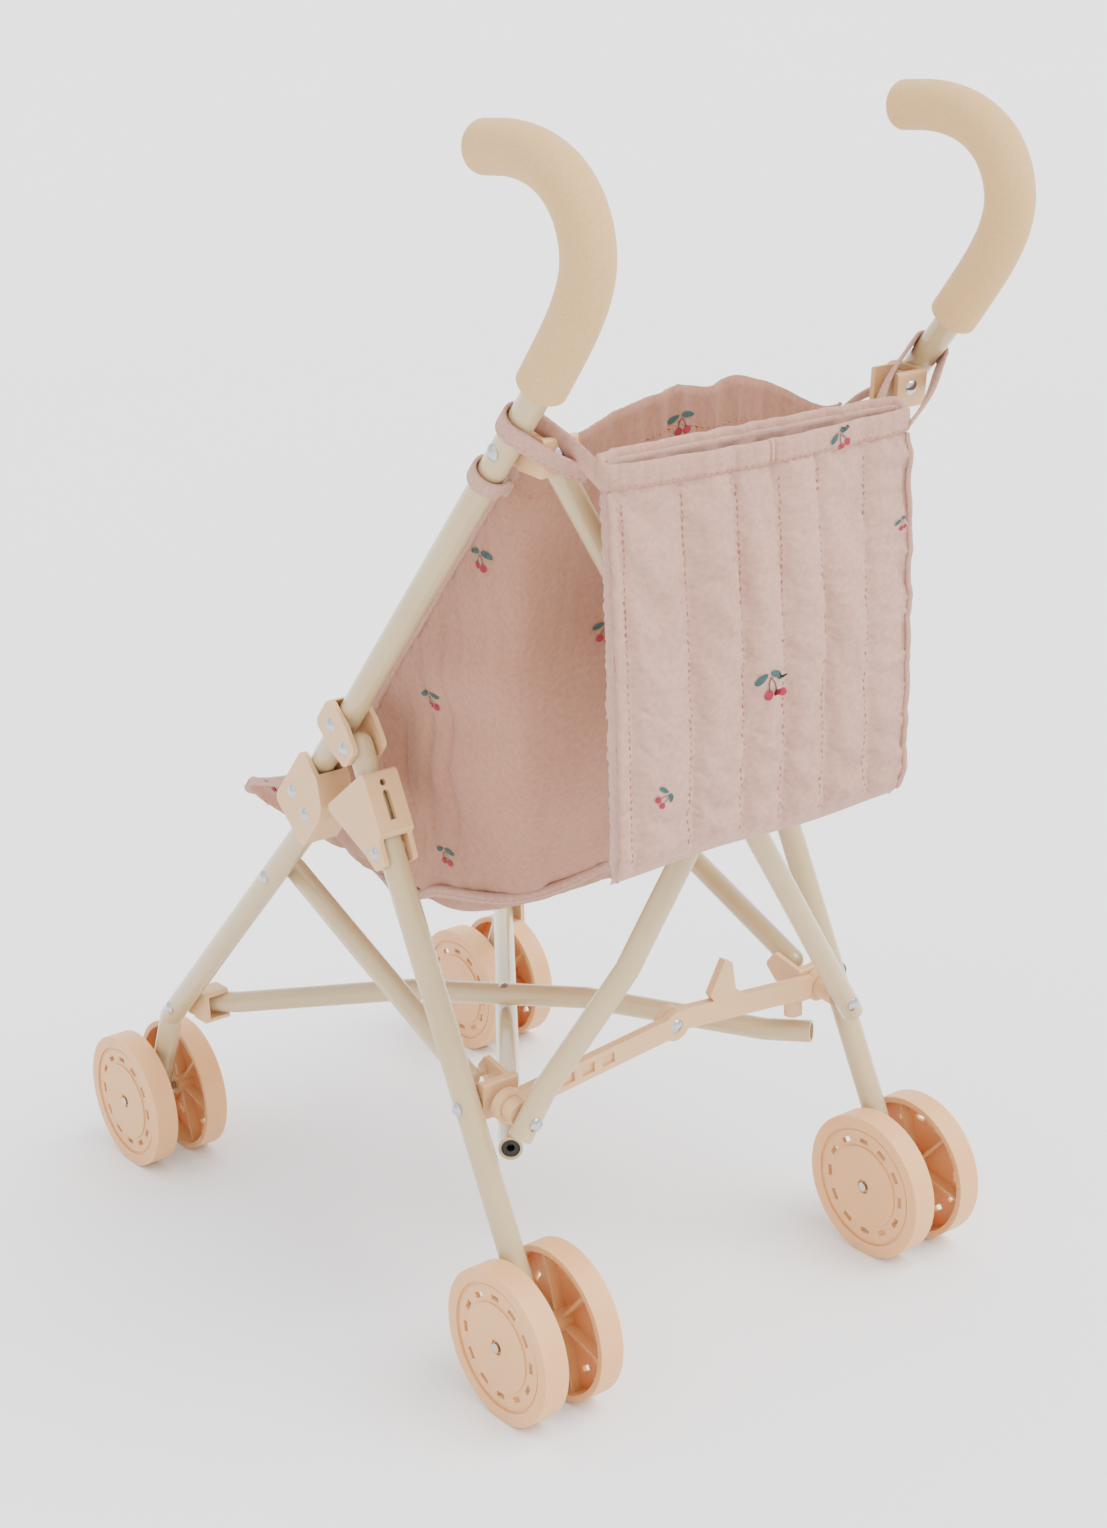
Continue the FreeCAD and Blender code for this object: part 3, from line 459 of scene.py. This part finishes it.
# ---------------------------------------------------------------- the seat sling, one sheet of cotton
# each station from the front lip to the backrest's top: wing edge, corner and centre, as (x, y, z)
seat_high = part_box("seat_sling")[1]
WING = seat_high.x - 0.0008
STATIONS = [
    ((WING - 0.004, -0.108, 0.2265), (0.080, -0.1150, 0.2175), (0, -0.1190, 0.2150)),
    ((WING - 0.001, -0.060, 0.2400), (0.088, -0.0480, 0.2090), (0, -0.0450, 0.2040)),
    ((WING, -0.010, 0.2620), (0.087, 0.0100, 0.2000), (0, 0.0120, 0.1975)),
    ((WING, 0.0315, 0.3100), (0.074, 0.0450, 0.1990), (0, 0.0480, 0.1970)),
    ((WING, 0.0665, 0.3470), (0.062, 0.0900, 0.2200), (0, 0.0900, 0.2140)),
    ((WING, 0.0965, 0.3780), (0.066, 0.1060, 0.2620), (0, 0.0990, 0.2580)),
    ((WING, 0.1205, 0.4025), (0.076, 0.1180, 0.3300), (0, 0.1120, 0.3300)),
    ((WING, 0.1385, 0.4150), (0.080, 0.1390, 0.4080), (0, 0.1400, 0.4330)),
]
ROWS, HALF = 112, 62
SEAT_CLOTH = 0.0016


def seat_surface():
    edge, corner, centre = (spline([s[k] for s in STATIONS], ROWS) for k in range(3))
    rows = []
    for r in range(ROWS):
        e, k, c = edge[r], corner[r], centre[r]
        wing = e + (k - e) * 0.5 + np.array([0.002, 0, 0])
        near = k + (e - k) * 0.10
        under = k + (c - k) * 0.10
        quarter = k + (c - k) * 0.5 + np.array([0, 0, -0.0015])
        half = spline([e, wing, near, under, quarter, c], HALF)
        other = half[::-1][1:] * np.array([-1, 1, 1])
        rows.append(np.vstack([half, other]))
    return np.array(rows)


surface = seat_surface()
TOP_X = [-0.0900, -0.0755, -0.0500, -0.0310, -0.0180, -0.0030, 0.0300, 0.0610, 0.0900]
TOP_Z = [0.4140, 0.4165, 0.4300, 0.4360, 0.4315, 0.4350, 0.4300, 0.4210, 0.4140]
rise = np.linspace(0, 1, ROWS)[:, None]
high = np.interp(surface[-1, :, 0], TOP_X, TOP_Z) - surface[-1, :, 2]
smooth = np.hanning(13) / np.hanning(13).sum()
high = np.convolve(np.pad(high, 6, mode="edge"), smooth, mode="valid")
surface[:, :, 2] += high * np.clip((rise - 0.72) / 0.28, 0, 1) ** 2
surface[:, :, 1] -= 0.006 * np.clip((rise - 0.80) / 0.20, 0, 1) ** 2 * np.cos(
    surface[:, :, 0] / 0.09 * math.pi / 2)
# the seat cloth wears the sling cotton with its painted shade
seat = grid("seat_cloth", surface, SLING_SHADED, "handle_l")
cols = surface.shape[1]
pins = np.zeros((ROWS, cols))
pins[:, :2] = pins[:, -2:] = 1.0
pins[:3, :] = 0.9
pins[-3:, :] = 0.9
simulate(seat, pins.ravel(), cap=0.010, frames=22, gravity=0.8, grow=0.035, bend=0.25)
co = coords(seat).reshape(ROWS, cols, 3)
v = np.linspace(0, 1, ROWS)[:, None]
u = np.linspace(-1, 1, cols)[None, :]
gather = np.clip((v - 0.86) / 0.14, 0, 1) * np.cos(u * math.pi / 2) * 0.0007
co[:, :, 1] += gather * (np.sin(u * 31 + 2.5 * np.sin(u * 5)) + 0.5 * np.sin(u * 57 + 1.0))
pull = np.exp(-((v - 0.62) / 0.22) ** 2) * np.exp(-((np.abs(u) - 0.72) / 0.20) ** 2) * 0.0052
folds = 0.5 + 0.5 * np.sin(v * 27 + np.abs(u) * 19 + 0.7 * np.sin(v * 9))
co[:, :, 0] -= np.sign(u) * pull * folds
co[:, :, 0] = np.clip(co[:, :, 0], -WING, WING)
put(seat, co.reshape(-1, 3))
thicken(seat, SEAT_CLOTH, offset=-1.0)
seat_tree = tree_of(seat)


corner_col = int(HALF * 0.52)
BACK_ROW = int(ROWS * 0.475)
TURN = 7


def hem_points(out_by):
    """The hem's line: along one side's lower corner, across under the backrest, and back along the other."""
    left = co[2:BACK_ROW - TURN, corner_col + out_by]
    right = co[2:BACK_ROW - TURN, cols - 1 - corner_col - out_by]
    across = co[BACK_ROW - out_by // 2, corner_col + TURN:cols - corner_col - TURN]
    return spline(np.vstack([left[::6], across[::8], right[::-1][::6]]), 210)


hem_line = hem_points(0)
hem_side = hem_points(-3) - hem_line
OUT = np.tanh(hem_line[:, :1] / 0.02) * np.array([[1.0, 0, 0]])
seat_parts = [ribbon("seat_hem", hem_line + np.array([0, 0, -0.0012]) + OUT * 0.0016, hem_side,
                     0.0080, 0.0046, "handle_l")]
for tag, first, second in (("l", 1, 4), ("r", cols - 2, cols - 5)):
    edge = even(co[1:ROWS - 1, first], 90)
    inward = even(co[1:ROWS - 1, second], 90) - edge
    seat_parts.append(ribbon(f"seat_edge_{tag}", edge, inward, 0.007, 0.0026, "handle_l"))
line = even(co[1, 2:-2], 110)
seat_parts.append(ribbon("seat_lip", line, even(co[5, 2:-2], 110) - line, 0.008, 0.0028, "handle_l"))
seams = [hem_line + hem_side / np.linalg.norm(hem_side, axis=1, keepdims=True) * d
         + np.array([0.001, 0, -0.003])
         for d in (-0.0028, 0.0028)]
seams += [co[ROWS - 5, 4:-4] + np.array([0, 0.0012, 0]), co[4, 6:-6] + np.array([0, 0, -0.002]),
          co[7, 6:-6] + np.array([0, 0, -0.002])]
seat_stitches = stitches("seat_stitches", seams, tree_of(seat, *seat_parts), "handle_l")
UP = (0, 0, 1)
seat_prints = motif("seat_print", [
    ((0.12, 0.062, 0.292), UP, 0.05, 1.0), ((0.12, 0.048, 0.216), UP, 0.0, 1.0),
    ((0.10, -0.086, 0.2222), UP, 0.6, 0.9), ((0.12, 0.112, 0.372), UP, -0.2, 1.0),
    ((0.0, 0.16, 0.418), UP, 0.1, 1.0), ((-0.045, 0.155, 0.36), UP, 0.2, 1.0),
    ((0.04, 0.150, 0.33), UP, -0.1, 1.0), ((-0.12, 0.060, 0.285), UP, 0.2, 1.0),
    ((-0.12, 0.100, 0.355), UP, -0.2, 1.0), ((-0.12, 0.015, 0.225), UP, 0.0, 1.0),
    ((0.0, 0.06, 0.30), UP, 0.1, 1.0), ((0.03, 0.0, 0.24), (0, 1, 0), 0.2, 1.0),
    ((-0.04, -0.05, 0.24), (0, 1, 0), -0.3, 1.0), ((0.03, -0.08, 0.18), (0, 1, 0), 0.1, 1.0),
    ((-0.03, 0.01, 0.15), (0, 1, 0), 0.1, 1.0)], seat_tree, "handle_l")

# ---------------------------------------------------------------- the quilted bag
bag_low, bag_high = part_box("bag")
MID_X = 0.006
LEFT_HALF, LEFT_FLARE = 0.0815, 0.0045
RIGHT_HALF, RIGHT_TAPER = 0.0770, 0.0085
BELLY = 0.0035
RIM_DIP = 0.0020
BAG_CLOTH = 0.0028
SEAMS = [0.0835, 0.053, 0.026, 0.004, -0.0195, -0.045]
SIDE = 10
DOWN = 92
ACROSS = 86


def bag_row(t):
    """One ring of the bag at t down its height, from 0 at the rim to 1 at the bottom."""
    left = MID_X + LEFT_HALF + LEFT_FLARE * t
    right = MID_X - RIGHT_HALF + RIGHT_TAPER * t
    near_end = max(0.0, (t - 0.90) / 0.10)
    close = math.sqrt(max(0.0, 1 - near_end ** 2))
    belly = math.sin(math.pi * min(t * 1.05, 1.0)) * BELLY
    middle = 0.5 * (bag_low.y + bag_high.y) + 0.003 * t
    half = (0.5 * (bag_high.y - bag_low.y) - 0.0022 + belly * 0.4) * (0.12 + 0.88 * close)
    xs = np.linspace(left, right, ACROSS)
    place = np.linspace(0, 1, ACROSS)
    dip = RIM_DIP * np.sin(np.pi * place) * (1 - t)
    rim_front, rim_back = bag_high.z - 0.0005, bag_high.z + 0.0035
    low = bag_low.z + 0.0008 - 0.0008 * np.cos(place * 9.0)
    front_z = rim_front + (low - rim_front) * t - dip
    back_z = rim_back + (low - rim_back) * t - dip
    bulge = np.sin(np.pi * place) * belly
    front = np.stack([xs, middle + half + bulge, front_z], 1)
    deep = 0.30 + 0.70 * np.sin(np.pi * place) ** 0.6
    back = np.stack([xs, middle + half - 2 * half * deep, back_z], 1)[::-1]

    def side(a, b):
        k = np.linspace(0, 1, SIDE + 2)[1:-1, None]
        mid = a + (b - a) * k
        mid[:, 0] += math.copysign(0.0010, a[0] - MID_X) * np.sin(np.pi * k[:, 0])
        return mid

    return np.vstack([front, side(front[-1], back[0]), back, side(back[-1], front[0])])


bag_points = np.array([bag_row(t) for t in np.linspace(0, 1, DOWN)])
bag = grid("bag_cloth", bag_points, CLOTH, "handle_l", closed=True)
ring_count = bag_points.shape[1]
flat_x = bag_points[:, :, 0]
to_seam = np.min(np.abs(flat_x[:, :, None] - np.array(SEAMS)[None, None, :]), axis=2)
column = np.arange(ring_count)
on_front = column < ACROSS
on_back = (column >= ACROSS + SIDE) & (column < 2 * ACROSS + SIDE)
panel = (on_front | on_back)[None, :]
outward = np.where(on_front, 1.0, np.where(on_back, -1.0, 0.0))[None, :]
pins = np.where(panel, np.clip(1.0 - to_seam / 0.0024, 0, 1), 0.8)
pins[:3] = pins[-4:] = 1.0
simulate(bag, pins.ravel(), cap=0.005, frames=18, gravity=0.2, grow=0.05, pressure=1.5, bend=0.15)
co_bag = coords(bag).reshape(DOWN, ring_count, 3)
tall = np.linspace(0, 1, DOWN)[:, None]
fade = np.clip(tall / 0.06, 0, 1) * np.clip((1 - tall) / 0.05, 0, 1)
puff = np.sin(np.clip(to_seam / 0.0122, 0, 1) * math.pi / 2) ** 0.65
pucker = np.exp(-(to_seam / 0.006) ** 2) * 0.00035 * np.sin(tall * 260 + flat_x * 900)
crease = 0.00045 * np.sin(tall * 55 + np.sin(flat_x * 160) * 1.6) * puff
co_bag[:, :, 1] += outward * fade * (0.0040 * puff - 0.0016 + pucker + crease) * panel
put(bag, co_bag.reshape(-1, 3))
bm = bmesh.new()
bm.from_mesh(bag.data)
bm.verts.ensure_lookup_table()
foot = [bm.verts[(DOWN - 1) * ring_count + i] for i in range(ring_count)]
for i in range(ACROSS - 1):
    a, b = i, i + 1
    c, d = 2 * ACROSS + SIDE - 1 - (i + 1), 2 * ACROSS + SIDE - 1 - i
    bm.faces.new((foot[a], foot[b], foot[c], foot[d]))
bmesh.ops.holes_fill(
    bm, edges=[e for e in bm.edges if e.is_boundary and e.verts[0].co.z < bag_low.z + 0.02], sides=0)
bmesh.ops.recalc_face_normals(bm, faces=bm.faces)
bm.to_mesh(bag.data)
bm.free()
for face in bag.data.polygons:
    face.use_smooth = True
thicken(bag, BAG_CLOTH, offset=-1.0)

rim_path = co_bag[3].copy()
rim_path[:, 2] += 0.0035
rim_path = np.vstack([rim_path[ACROSS // 2:], rim_path[:ACROSS // 2 + 1]])
rim_path = even(rim_path, 260)
front_part = rim_path[:, 1] > 0.5 * (bag_low.y + bag_high.y)
binding = ribbon("bag_binding", rim_path, np.tile((0, 0.04, 1.0), (260, 1)), 0.0112, 0.0046, "handle_l")
piping = []
for tag, col in (("l", 0), ("r", ACROSS - 1)):
    line = even(co_bag[4:-2, col], 90)
    outside = np.sign(line[:, :1] - MID_X) * np.array([[1.0, 0, 0]]) + np.array([[0, 0.15, 0]])
    piping.append(ribbon(f"bag_piping_{tag}", line + outside * 0.0004, outside, 0.0030, 0.0022, "handle_l"))
bag_surface = tree_of(bag, binding, *piping)
seam_lines = []
for x in SEAMS:
    for at, flip in ((0.0006, 1), (-0.0006, -1)):
        col = int(np.argmin(np.abs(bag_points[20, :ACROSS, 0] - x)))
        col = col if flip == 1 else 2 * ACROSS + SIDE - 1 - col
        seam_lines.append(co_bag[7:-5, col] + np.array([0, at, 0]))
front_line = rim_path[front_part] + np.array([0, 0.0024, -0.0042])
back_line = rim_path[~front_part] + np.array([0, -0.0024, -0.0042])
bag_stitches = stitches("bag_stitches", seam_lines + [front_line, back_line], bag_surface, "handle_l")
bag_prints = motif("bag_print", [
    ((0.019, 0.24, 0.327), UP, 0.2, 1.15), ((-0.064, 0.24, 0.372), UP, 0.3, 0.6),
    ((0.074, 0.24, 0.285), UP, -0.9, 0.8), ((-0.030, 0.24, 0.4165), UP, 0.5, 0.9),
    ((0.060, 0.10, 0.38), UP, 0.2, 1.0), ((-0.02, 0.10, 0.32), UP, -0.3, 1.0),
    ((-0.06, 0.10, 0.29), UP, 0.1, 1.0)], bag_surface, "handle_l")


# ---------------------------------------------------------------- straps round the handle tubes
SLOPE = math.radians(46.33)
ALONG = np.array([0, math.cos(SLOPE), math.sin(SLOPE)])
KNEE = np.array([0.110, -0.009, 0.251])
TUBE = 0.006
BAG_STRAP_REACH, BAG_STRAP_WIDTH = 0.2592, 0.0100
SEAT_STRAP_REACH, SEAT_STRAP_WIDTH = 0.2280, 0.0085


def strap(name, side, reach, corner_a, corner_b, width, clear=0.0016):
    """A cotton strap from one corner, round the handle tube and back to the other corner."""
    sign = 1 if side == "l" else -1
    centre = (KNEE + ALONG * reach) * np.array([sign, 1, 1])
    a, b = (np.array(c) * np.array([sign, 1, 1]) for c in (corner_a, corner_b))
    radius = TUBE + clear
    to = (a + b) / 2 - centre
    to -= ALONG * (to @ ALONG)
    to /= np.linalg.norm(to)
    side_way = np.cross(ALONG, to)
    angle = math.acos(radius / np.linalg.norm((a + b) / 2 - centre)) if np.linalg.norm(
        (a + b) / 2 - centre) > radius else 0.5
    arc = [centre + radius * (to * math.cos(q) + side_way * math.sin(q))
           for q in np.linspace(angle, 2 * math.pi - angle, 26)]
    out_a = a + (arc[0] - a) * 0.5 + side_way * 0.0022
    out_b = b + (arc[-1] - b) * 0.5 - side_way * 0.0022
    start = spline([a, out_a, arc[0]], 22)[:-1]
    end = spline([arc[-1], out_b, b], 22)[1:]
    path = np.vstack([start, arc, end])
    return ribbon(name, path, np.tile(ALONG, (len(path), 1)), width, 0.0019, "handle_" + side), path


straps, strap_lines = [], {"l": [], "r": []}
for side in ("l", "r"):
    edge = 0.0870 if side == "l" else 0.0700
    made, path = strap(f"bag_strap_{side}_cloth", side, BAG_STRAP_REACH, (edge, 0.1965, 0.4130),
                       (edge - 0.002, 0.1800, 0.4160), BAG_STRAP_WIDTH)
    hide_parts(f"bag_strap_{side}")
    straps.append(made)
    for off in (-0.0036, 0.0036):
        strap_lines[side].append(path + ALONG * off + np.array([0, 0.0006, 0.0006]))
for side in ("l", "r"):
    made, path = strap(f"seat_strap_{side}", side, SEAT_STRAP_REACH, (0.0890, 0.1380, 0.4120),
                       (0.0890, 0.1300, 0.4060), SEAT_STRAP_WIDTH)
    straps.append(made)
for i, side in enumerate(("l", "r")):
    stitches(f"strap_stitches_{side}", strap_lines[side], tree_of(straps[i]), "handle_" + side,
             radius=0.00026)

# ---------------------------------------------------------------- riding and replacing
for obj in list(bpy.context.scene.objects):
    if "rides" in obj:
        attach(obj, obj["rides"])
for obj in [seat, bag, binding, bag_stitches, seat_stitches] + piping + seat_parts + seat_prints + bag_prints:
    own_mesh(obj)
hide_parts("seat_sling")
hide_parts("bag")

# ---------------------------------------------------------------- floor, light and camera
AZ, EL, ROLL = (math.radians(a) for a in (143.426, 17.659, -2.909))
away = Vector((-math.sin(AZ), math.cos(AZ), 0))
level = Vector((math.cos(AZ), math.sin(AZ), 0))
FLAT_FROM, FLAT_TO, SWEEP, WALL_TOP, HALF_WIDTH = -12.0, 5.0, 4.0, 9.0, 16
profile = [(FLAT_FROM, 0.0), (FLAT_TO, 0.0)]
profile += [(FLAT_TO + SWEEP * math.sin(q), SWEEP - SWEEP * math.cos(q))
            for q in np.linspace(0.1, math.pi / 2, 16)]
profile.append((FLAT_TO + SWEEP, WALL_TOP))
corners = [away * d + level * w + Vector((0, 0, h)) for d, h in profile
           for w in (-HALF_WIDTH, HALF_WIDTH)]
floor_mesh = bpy.data.meshes.new("floor")
floor_mesh.from_pydata([tuple(c) for c in corners], [],
                       [(2 * i, 2 * i + 1, 2 * i + 3, 2 * i + 2) for i in range(len(profile) - 1)])
for face in floor_mesh.polygons:
    face.use_smooth = True
floor = bpy.data.objects.new("floor", floor_mesh)
bpy.context.scene.collection.objects.link(floor)
floor_mat, add, link, shader = material("floor_paper")
grain = add("TexNoise", in_Scale=60.0)
link(ramp(add, link, grain.outputs["Fac"], [(0.3, (0.94, 0.94, 0.942)), (0.7, (0.95, 0.95, 0.952))]),
     shader.inputs["Base Color"])
shader.inputs["Roughness"].default_value = 0.9
floor_mesh.materials.append(floor_mat)

world = bpy.data.worlds.new("studio")
bpy.context.scene.world = world
world.use_nodes = True
world.node_tree.nodes["Background"].inputs["Color"].default_value = (0.96, 0.97, 1.0, 1)
world.node_tree.nodes["Background"].inputs["Strength"].default_value = 1.66


def sun(name, direction, strength, angle, colour):
    data = bpy.data.lights.new(name, "SUN")
    data.energy = strength
    data.angle = math.radians(angle)
    data.color = colour
    lamp = bpy.data.objects.new(name, data)
    bpy.context.scene.collection.objects.link(lamp)
    lamp.rotation_euler = Vector(direction).to_track_quat("Z", "Y").to_euler()


sun("key", (-0.45, 0.80, 1.25), 3.4, 45, (1.0, 0.985, 0.96))
sun("fill", (1.2, 0.6, 1.3), 0.6, 90, (0.97, 0.98, 1.0))

back = Vector((math.sin(AZ) * math.cos(EL), -math.cos(AZ) * math.cos(EL), math.sin(EL)))
right = Vector((math.cos(AZ), math.sin(AZ), 0))
up = back.cross(right)
right, up = right * math.cos(ROLL) + up * math.sin(ROLL), up * math.cos(ROLL) - right * math.sin(ROLL)
lens = bpy.data.cameras.new("camera")
lens.sensor_fit = "VERTICAL"
lens.sensor_height = 36.0
lens.lens = 58.83
lens.clip_start = 0.01
camera = bpy.data.objects.new("camera", lens)
bpy.context.scene.collection.objects.link(camera)
camera.matrix_world = Matrix((right, up, back)).transposed().to_4x4()
camera.location = (0.6698, 0.9354, 0.6039)
bpy.context.scene.camera = camera
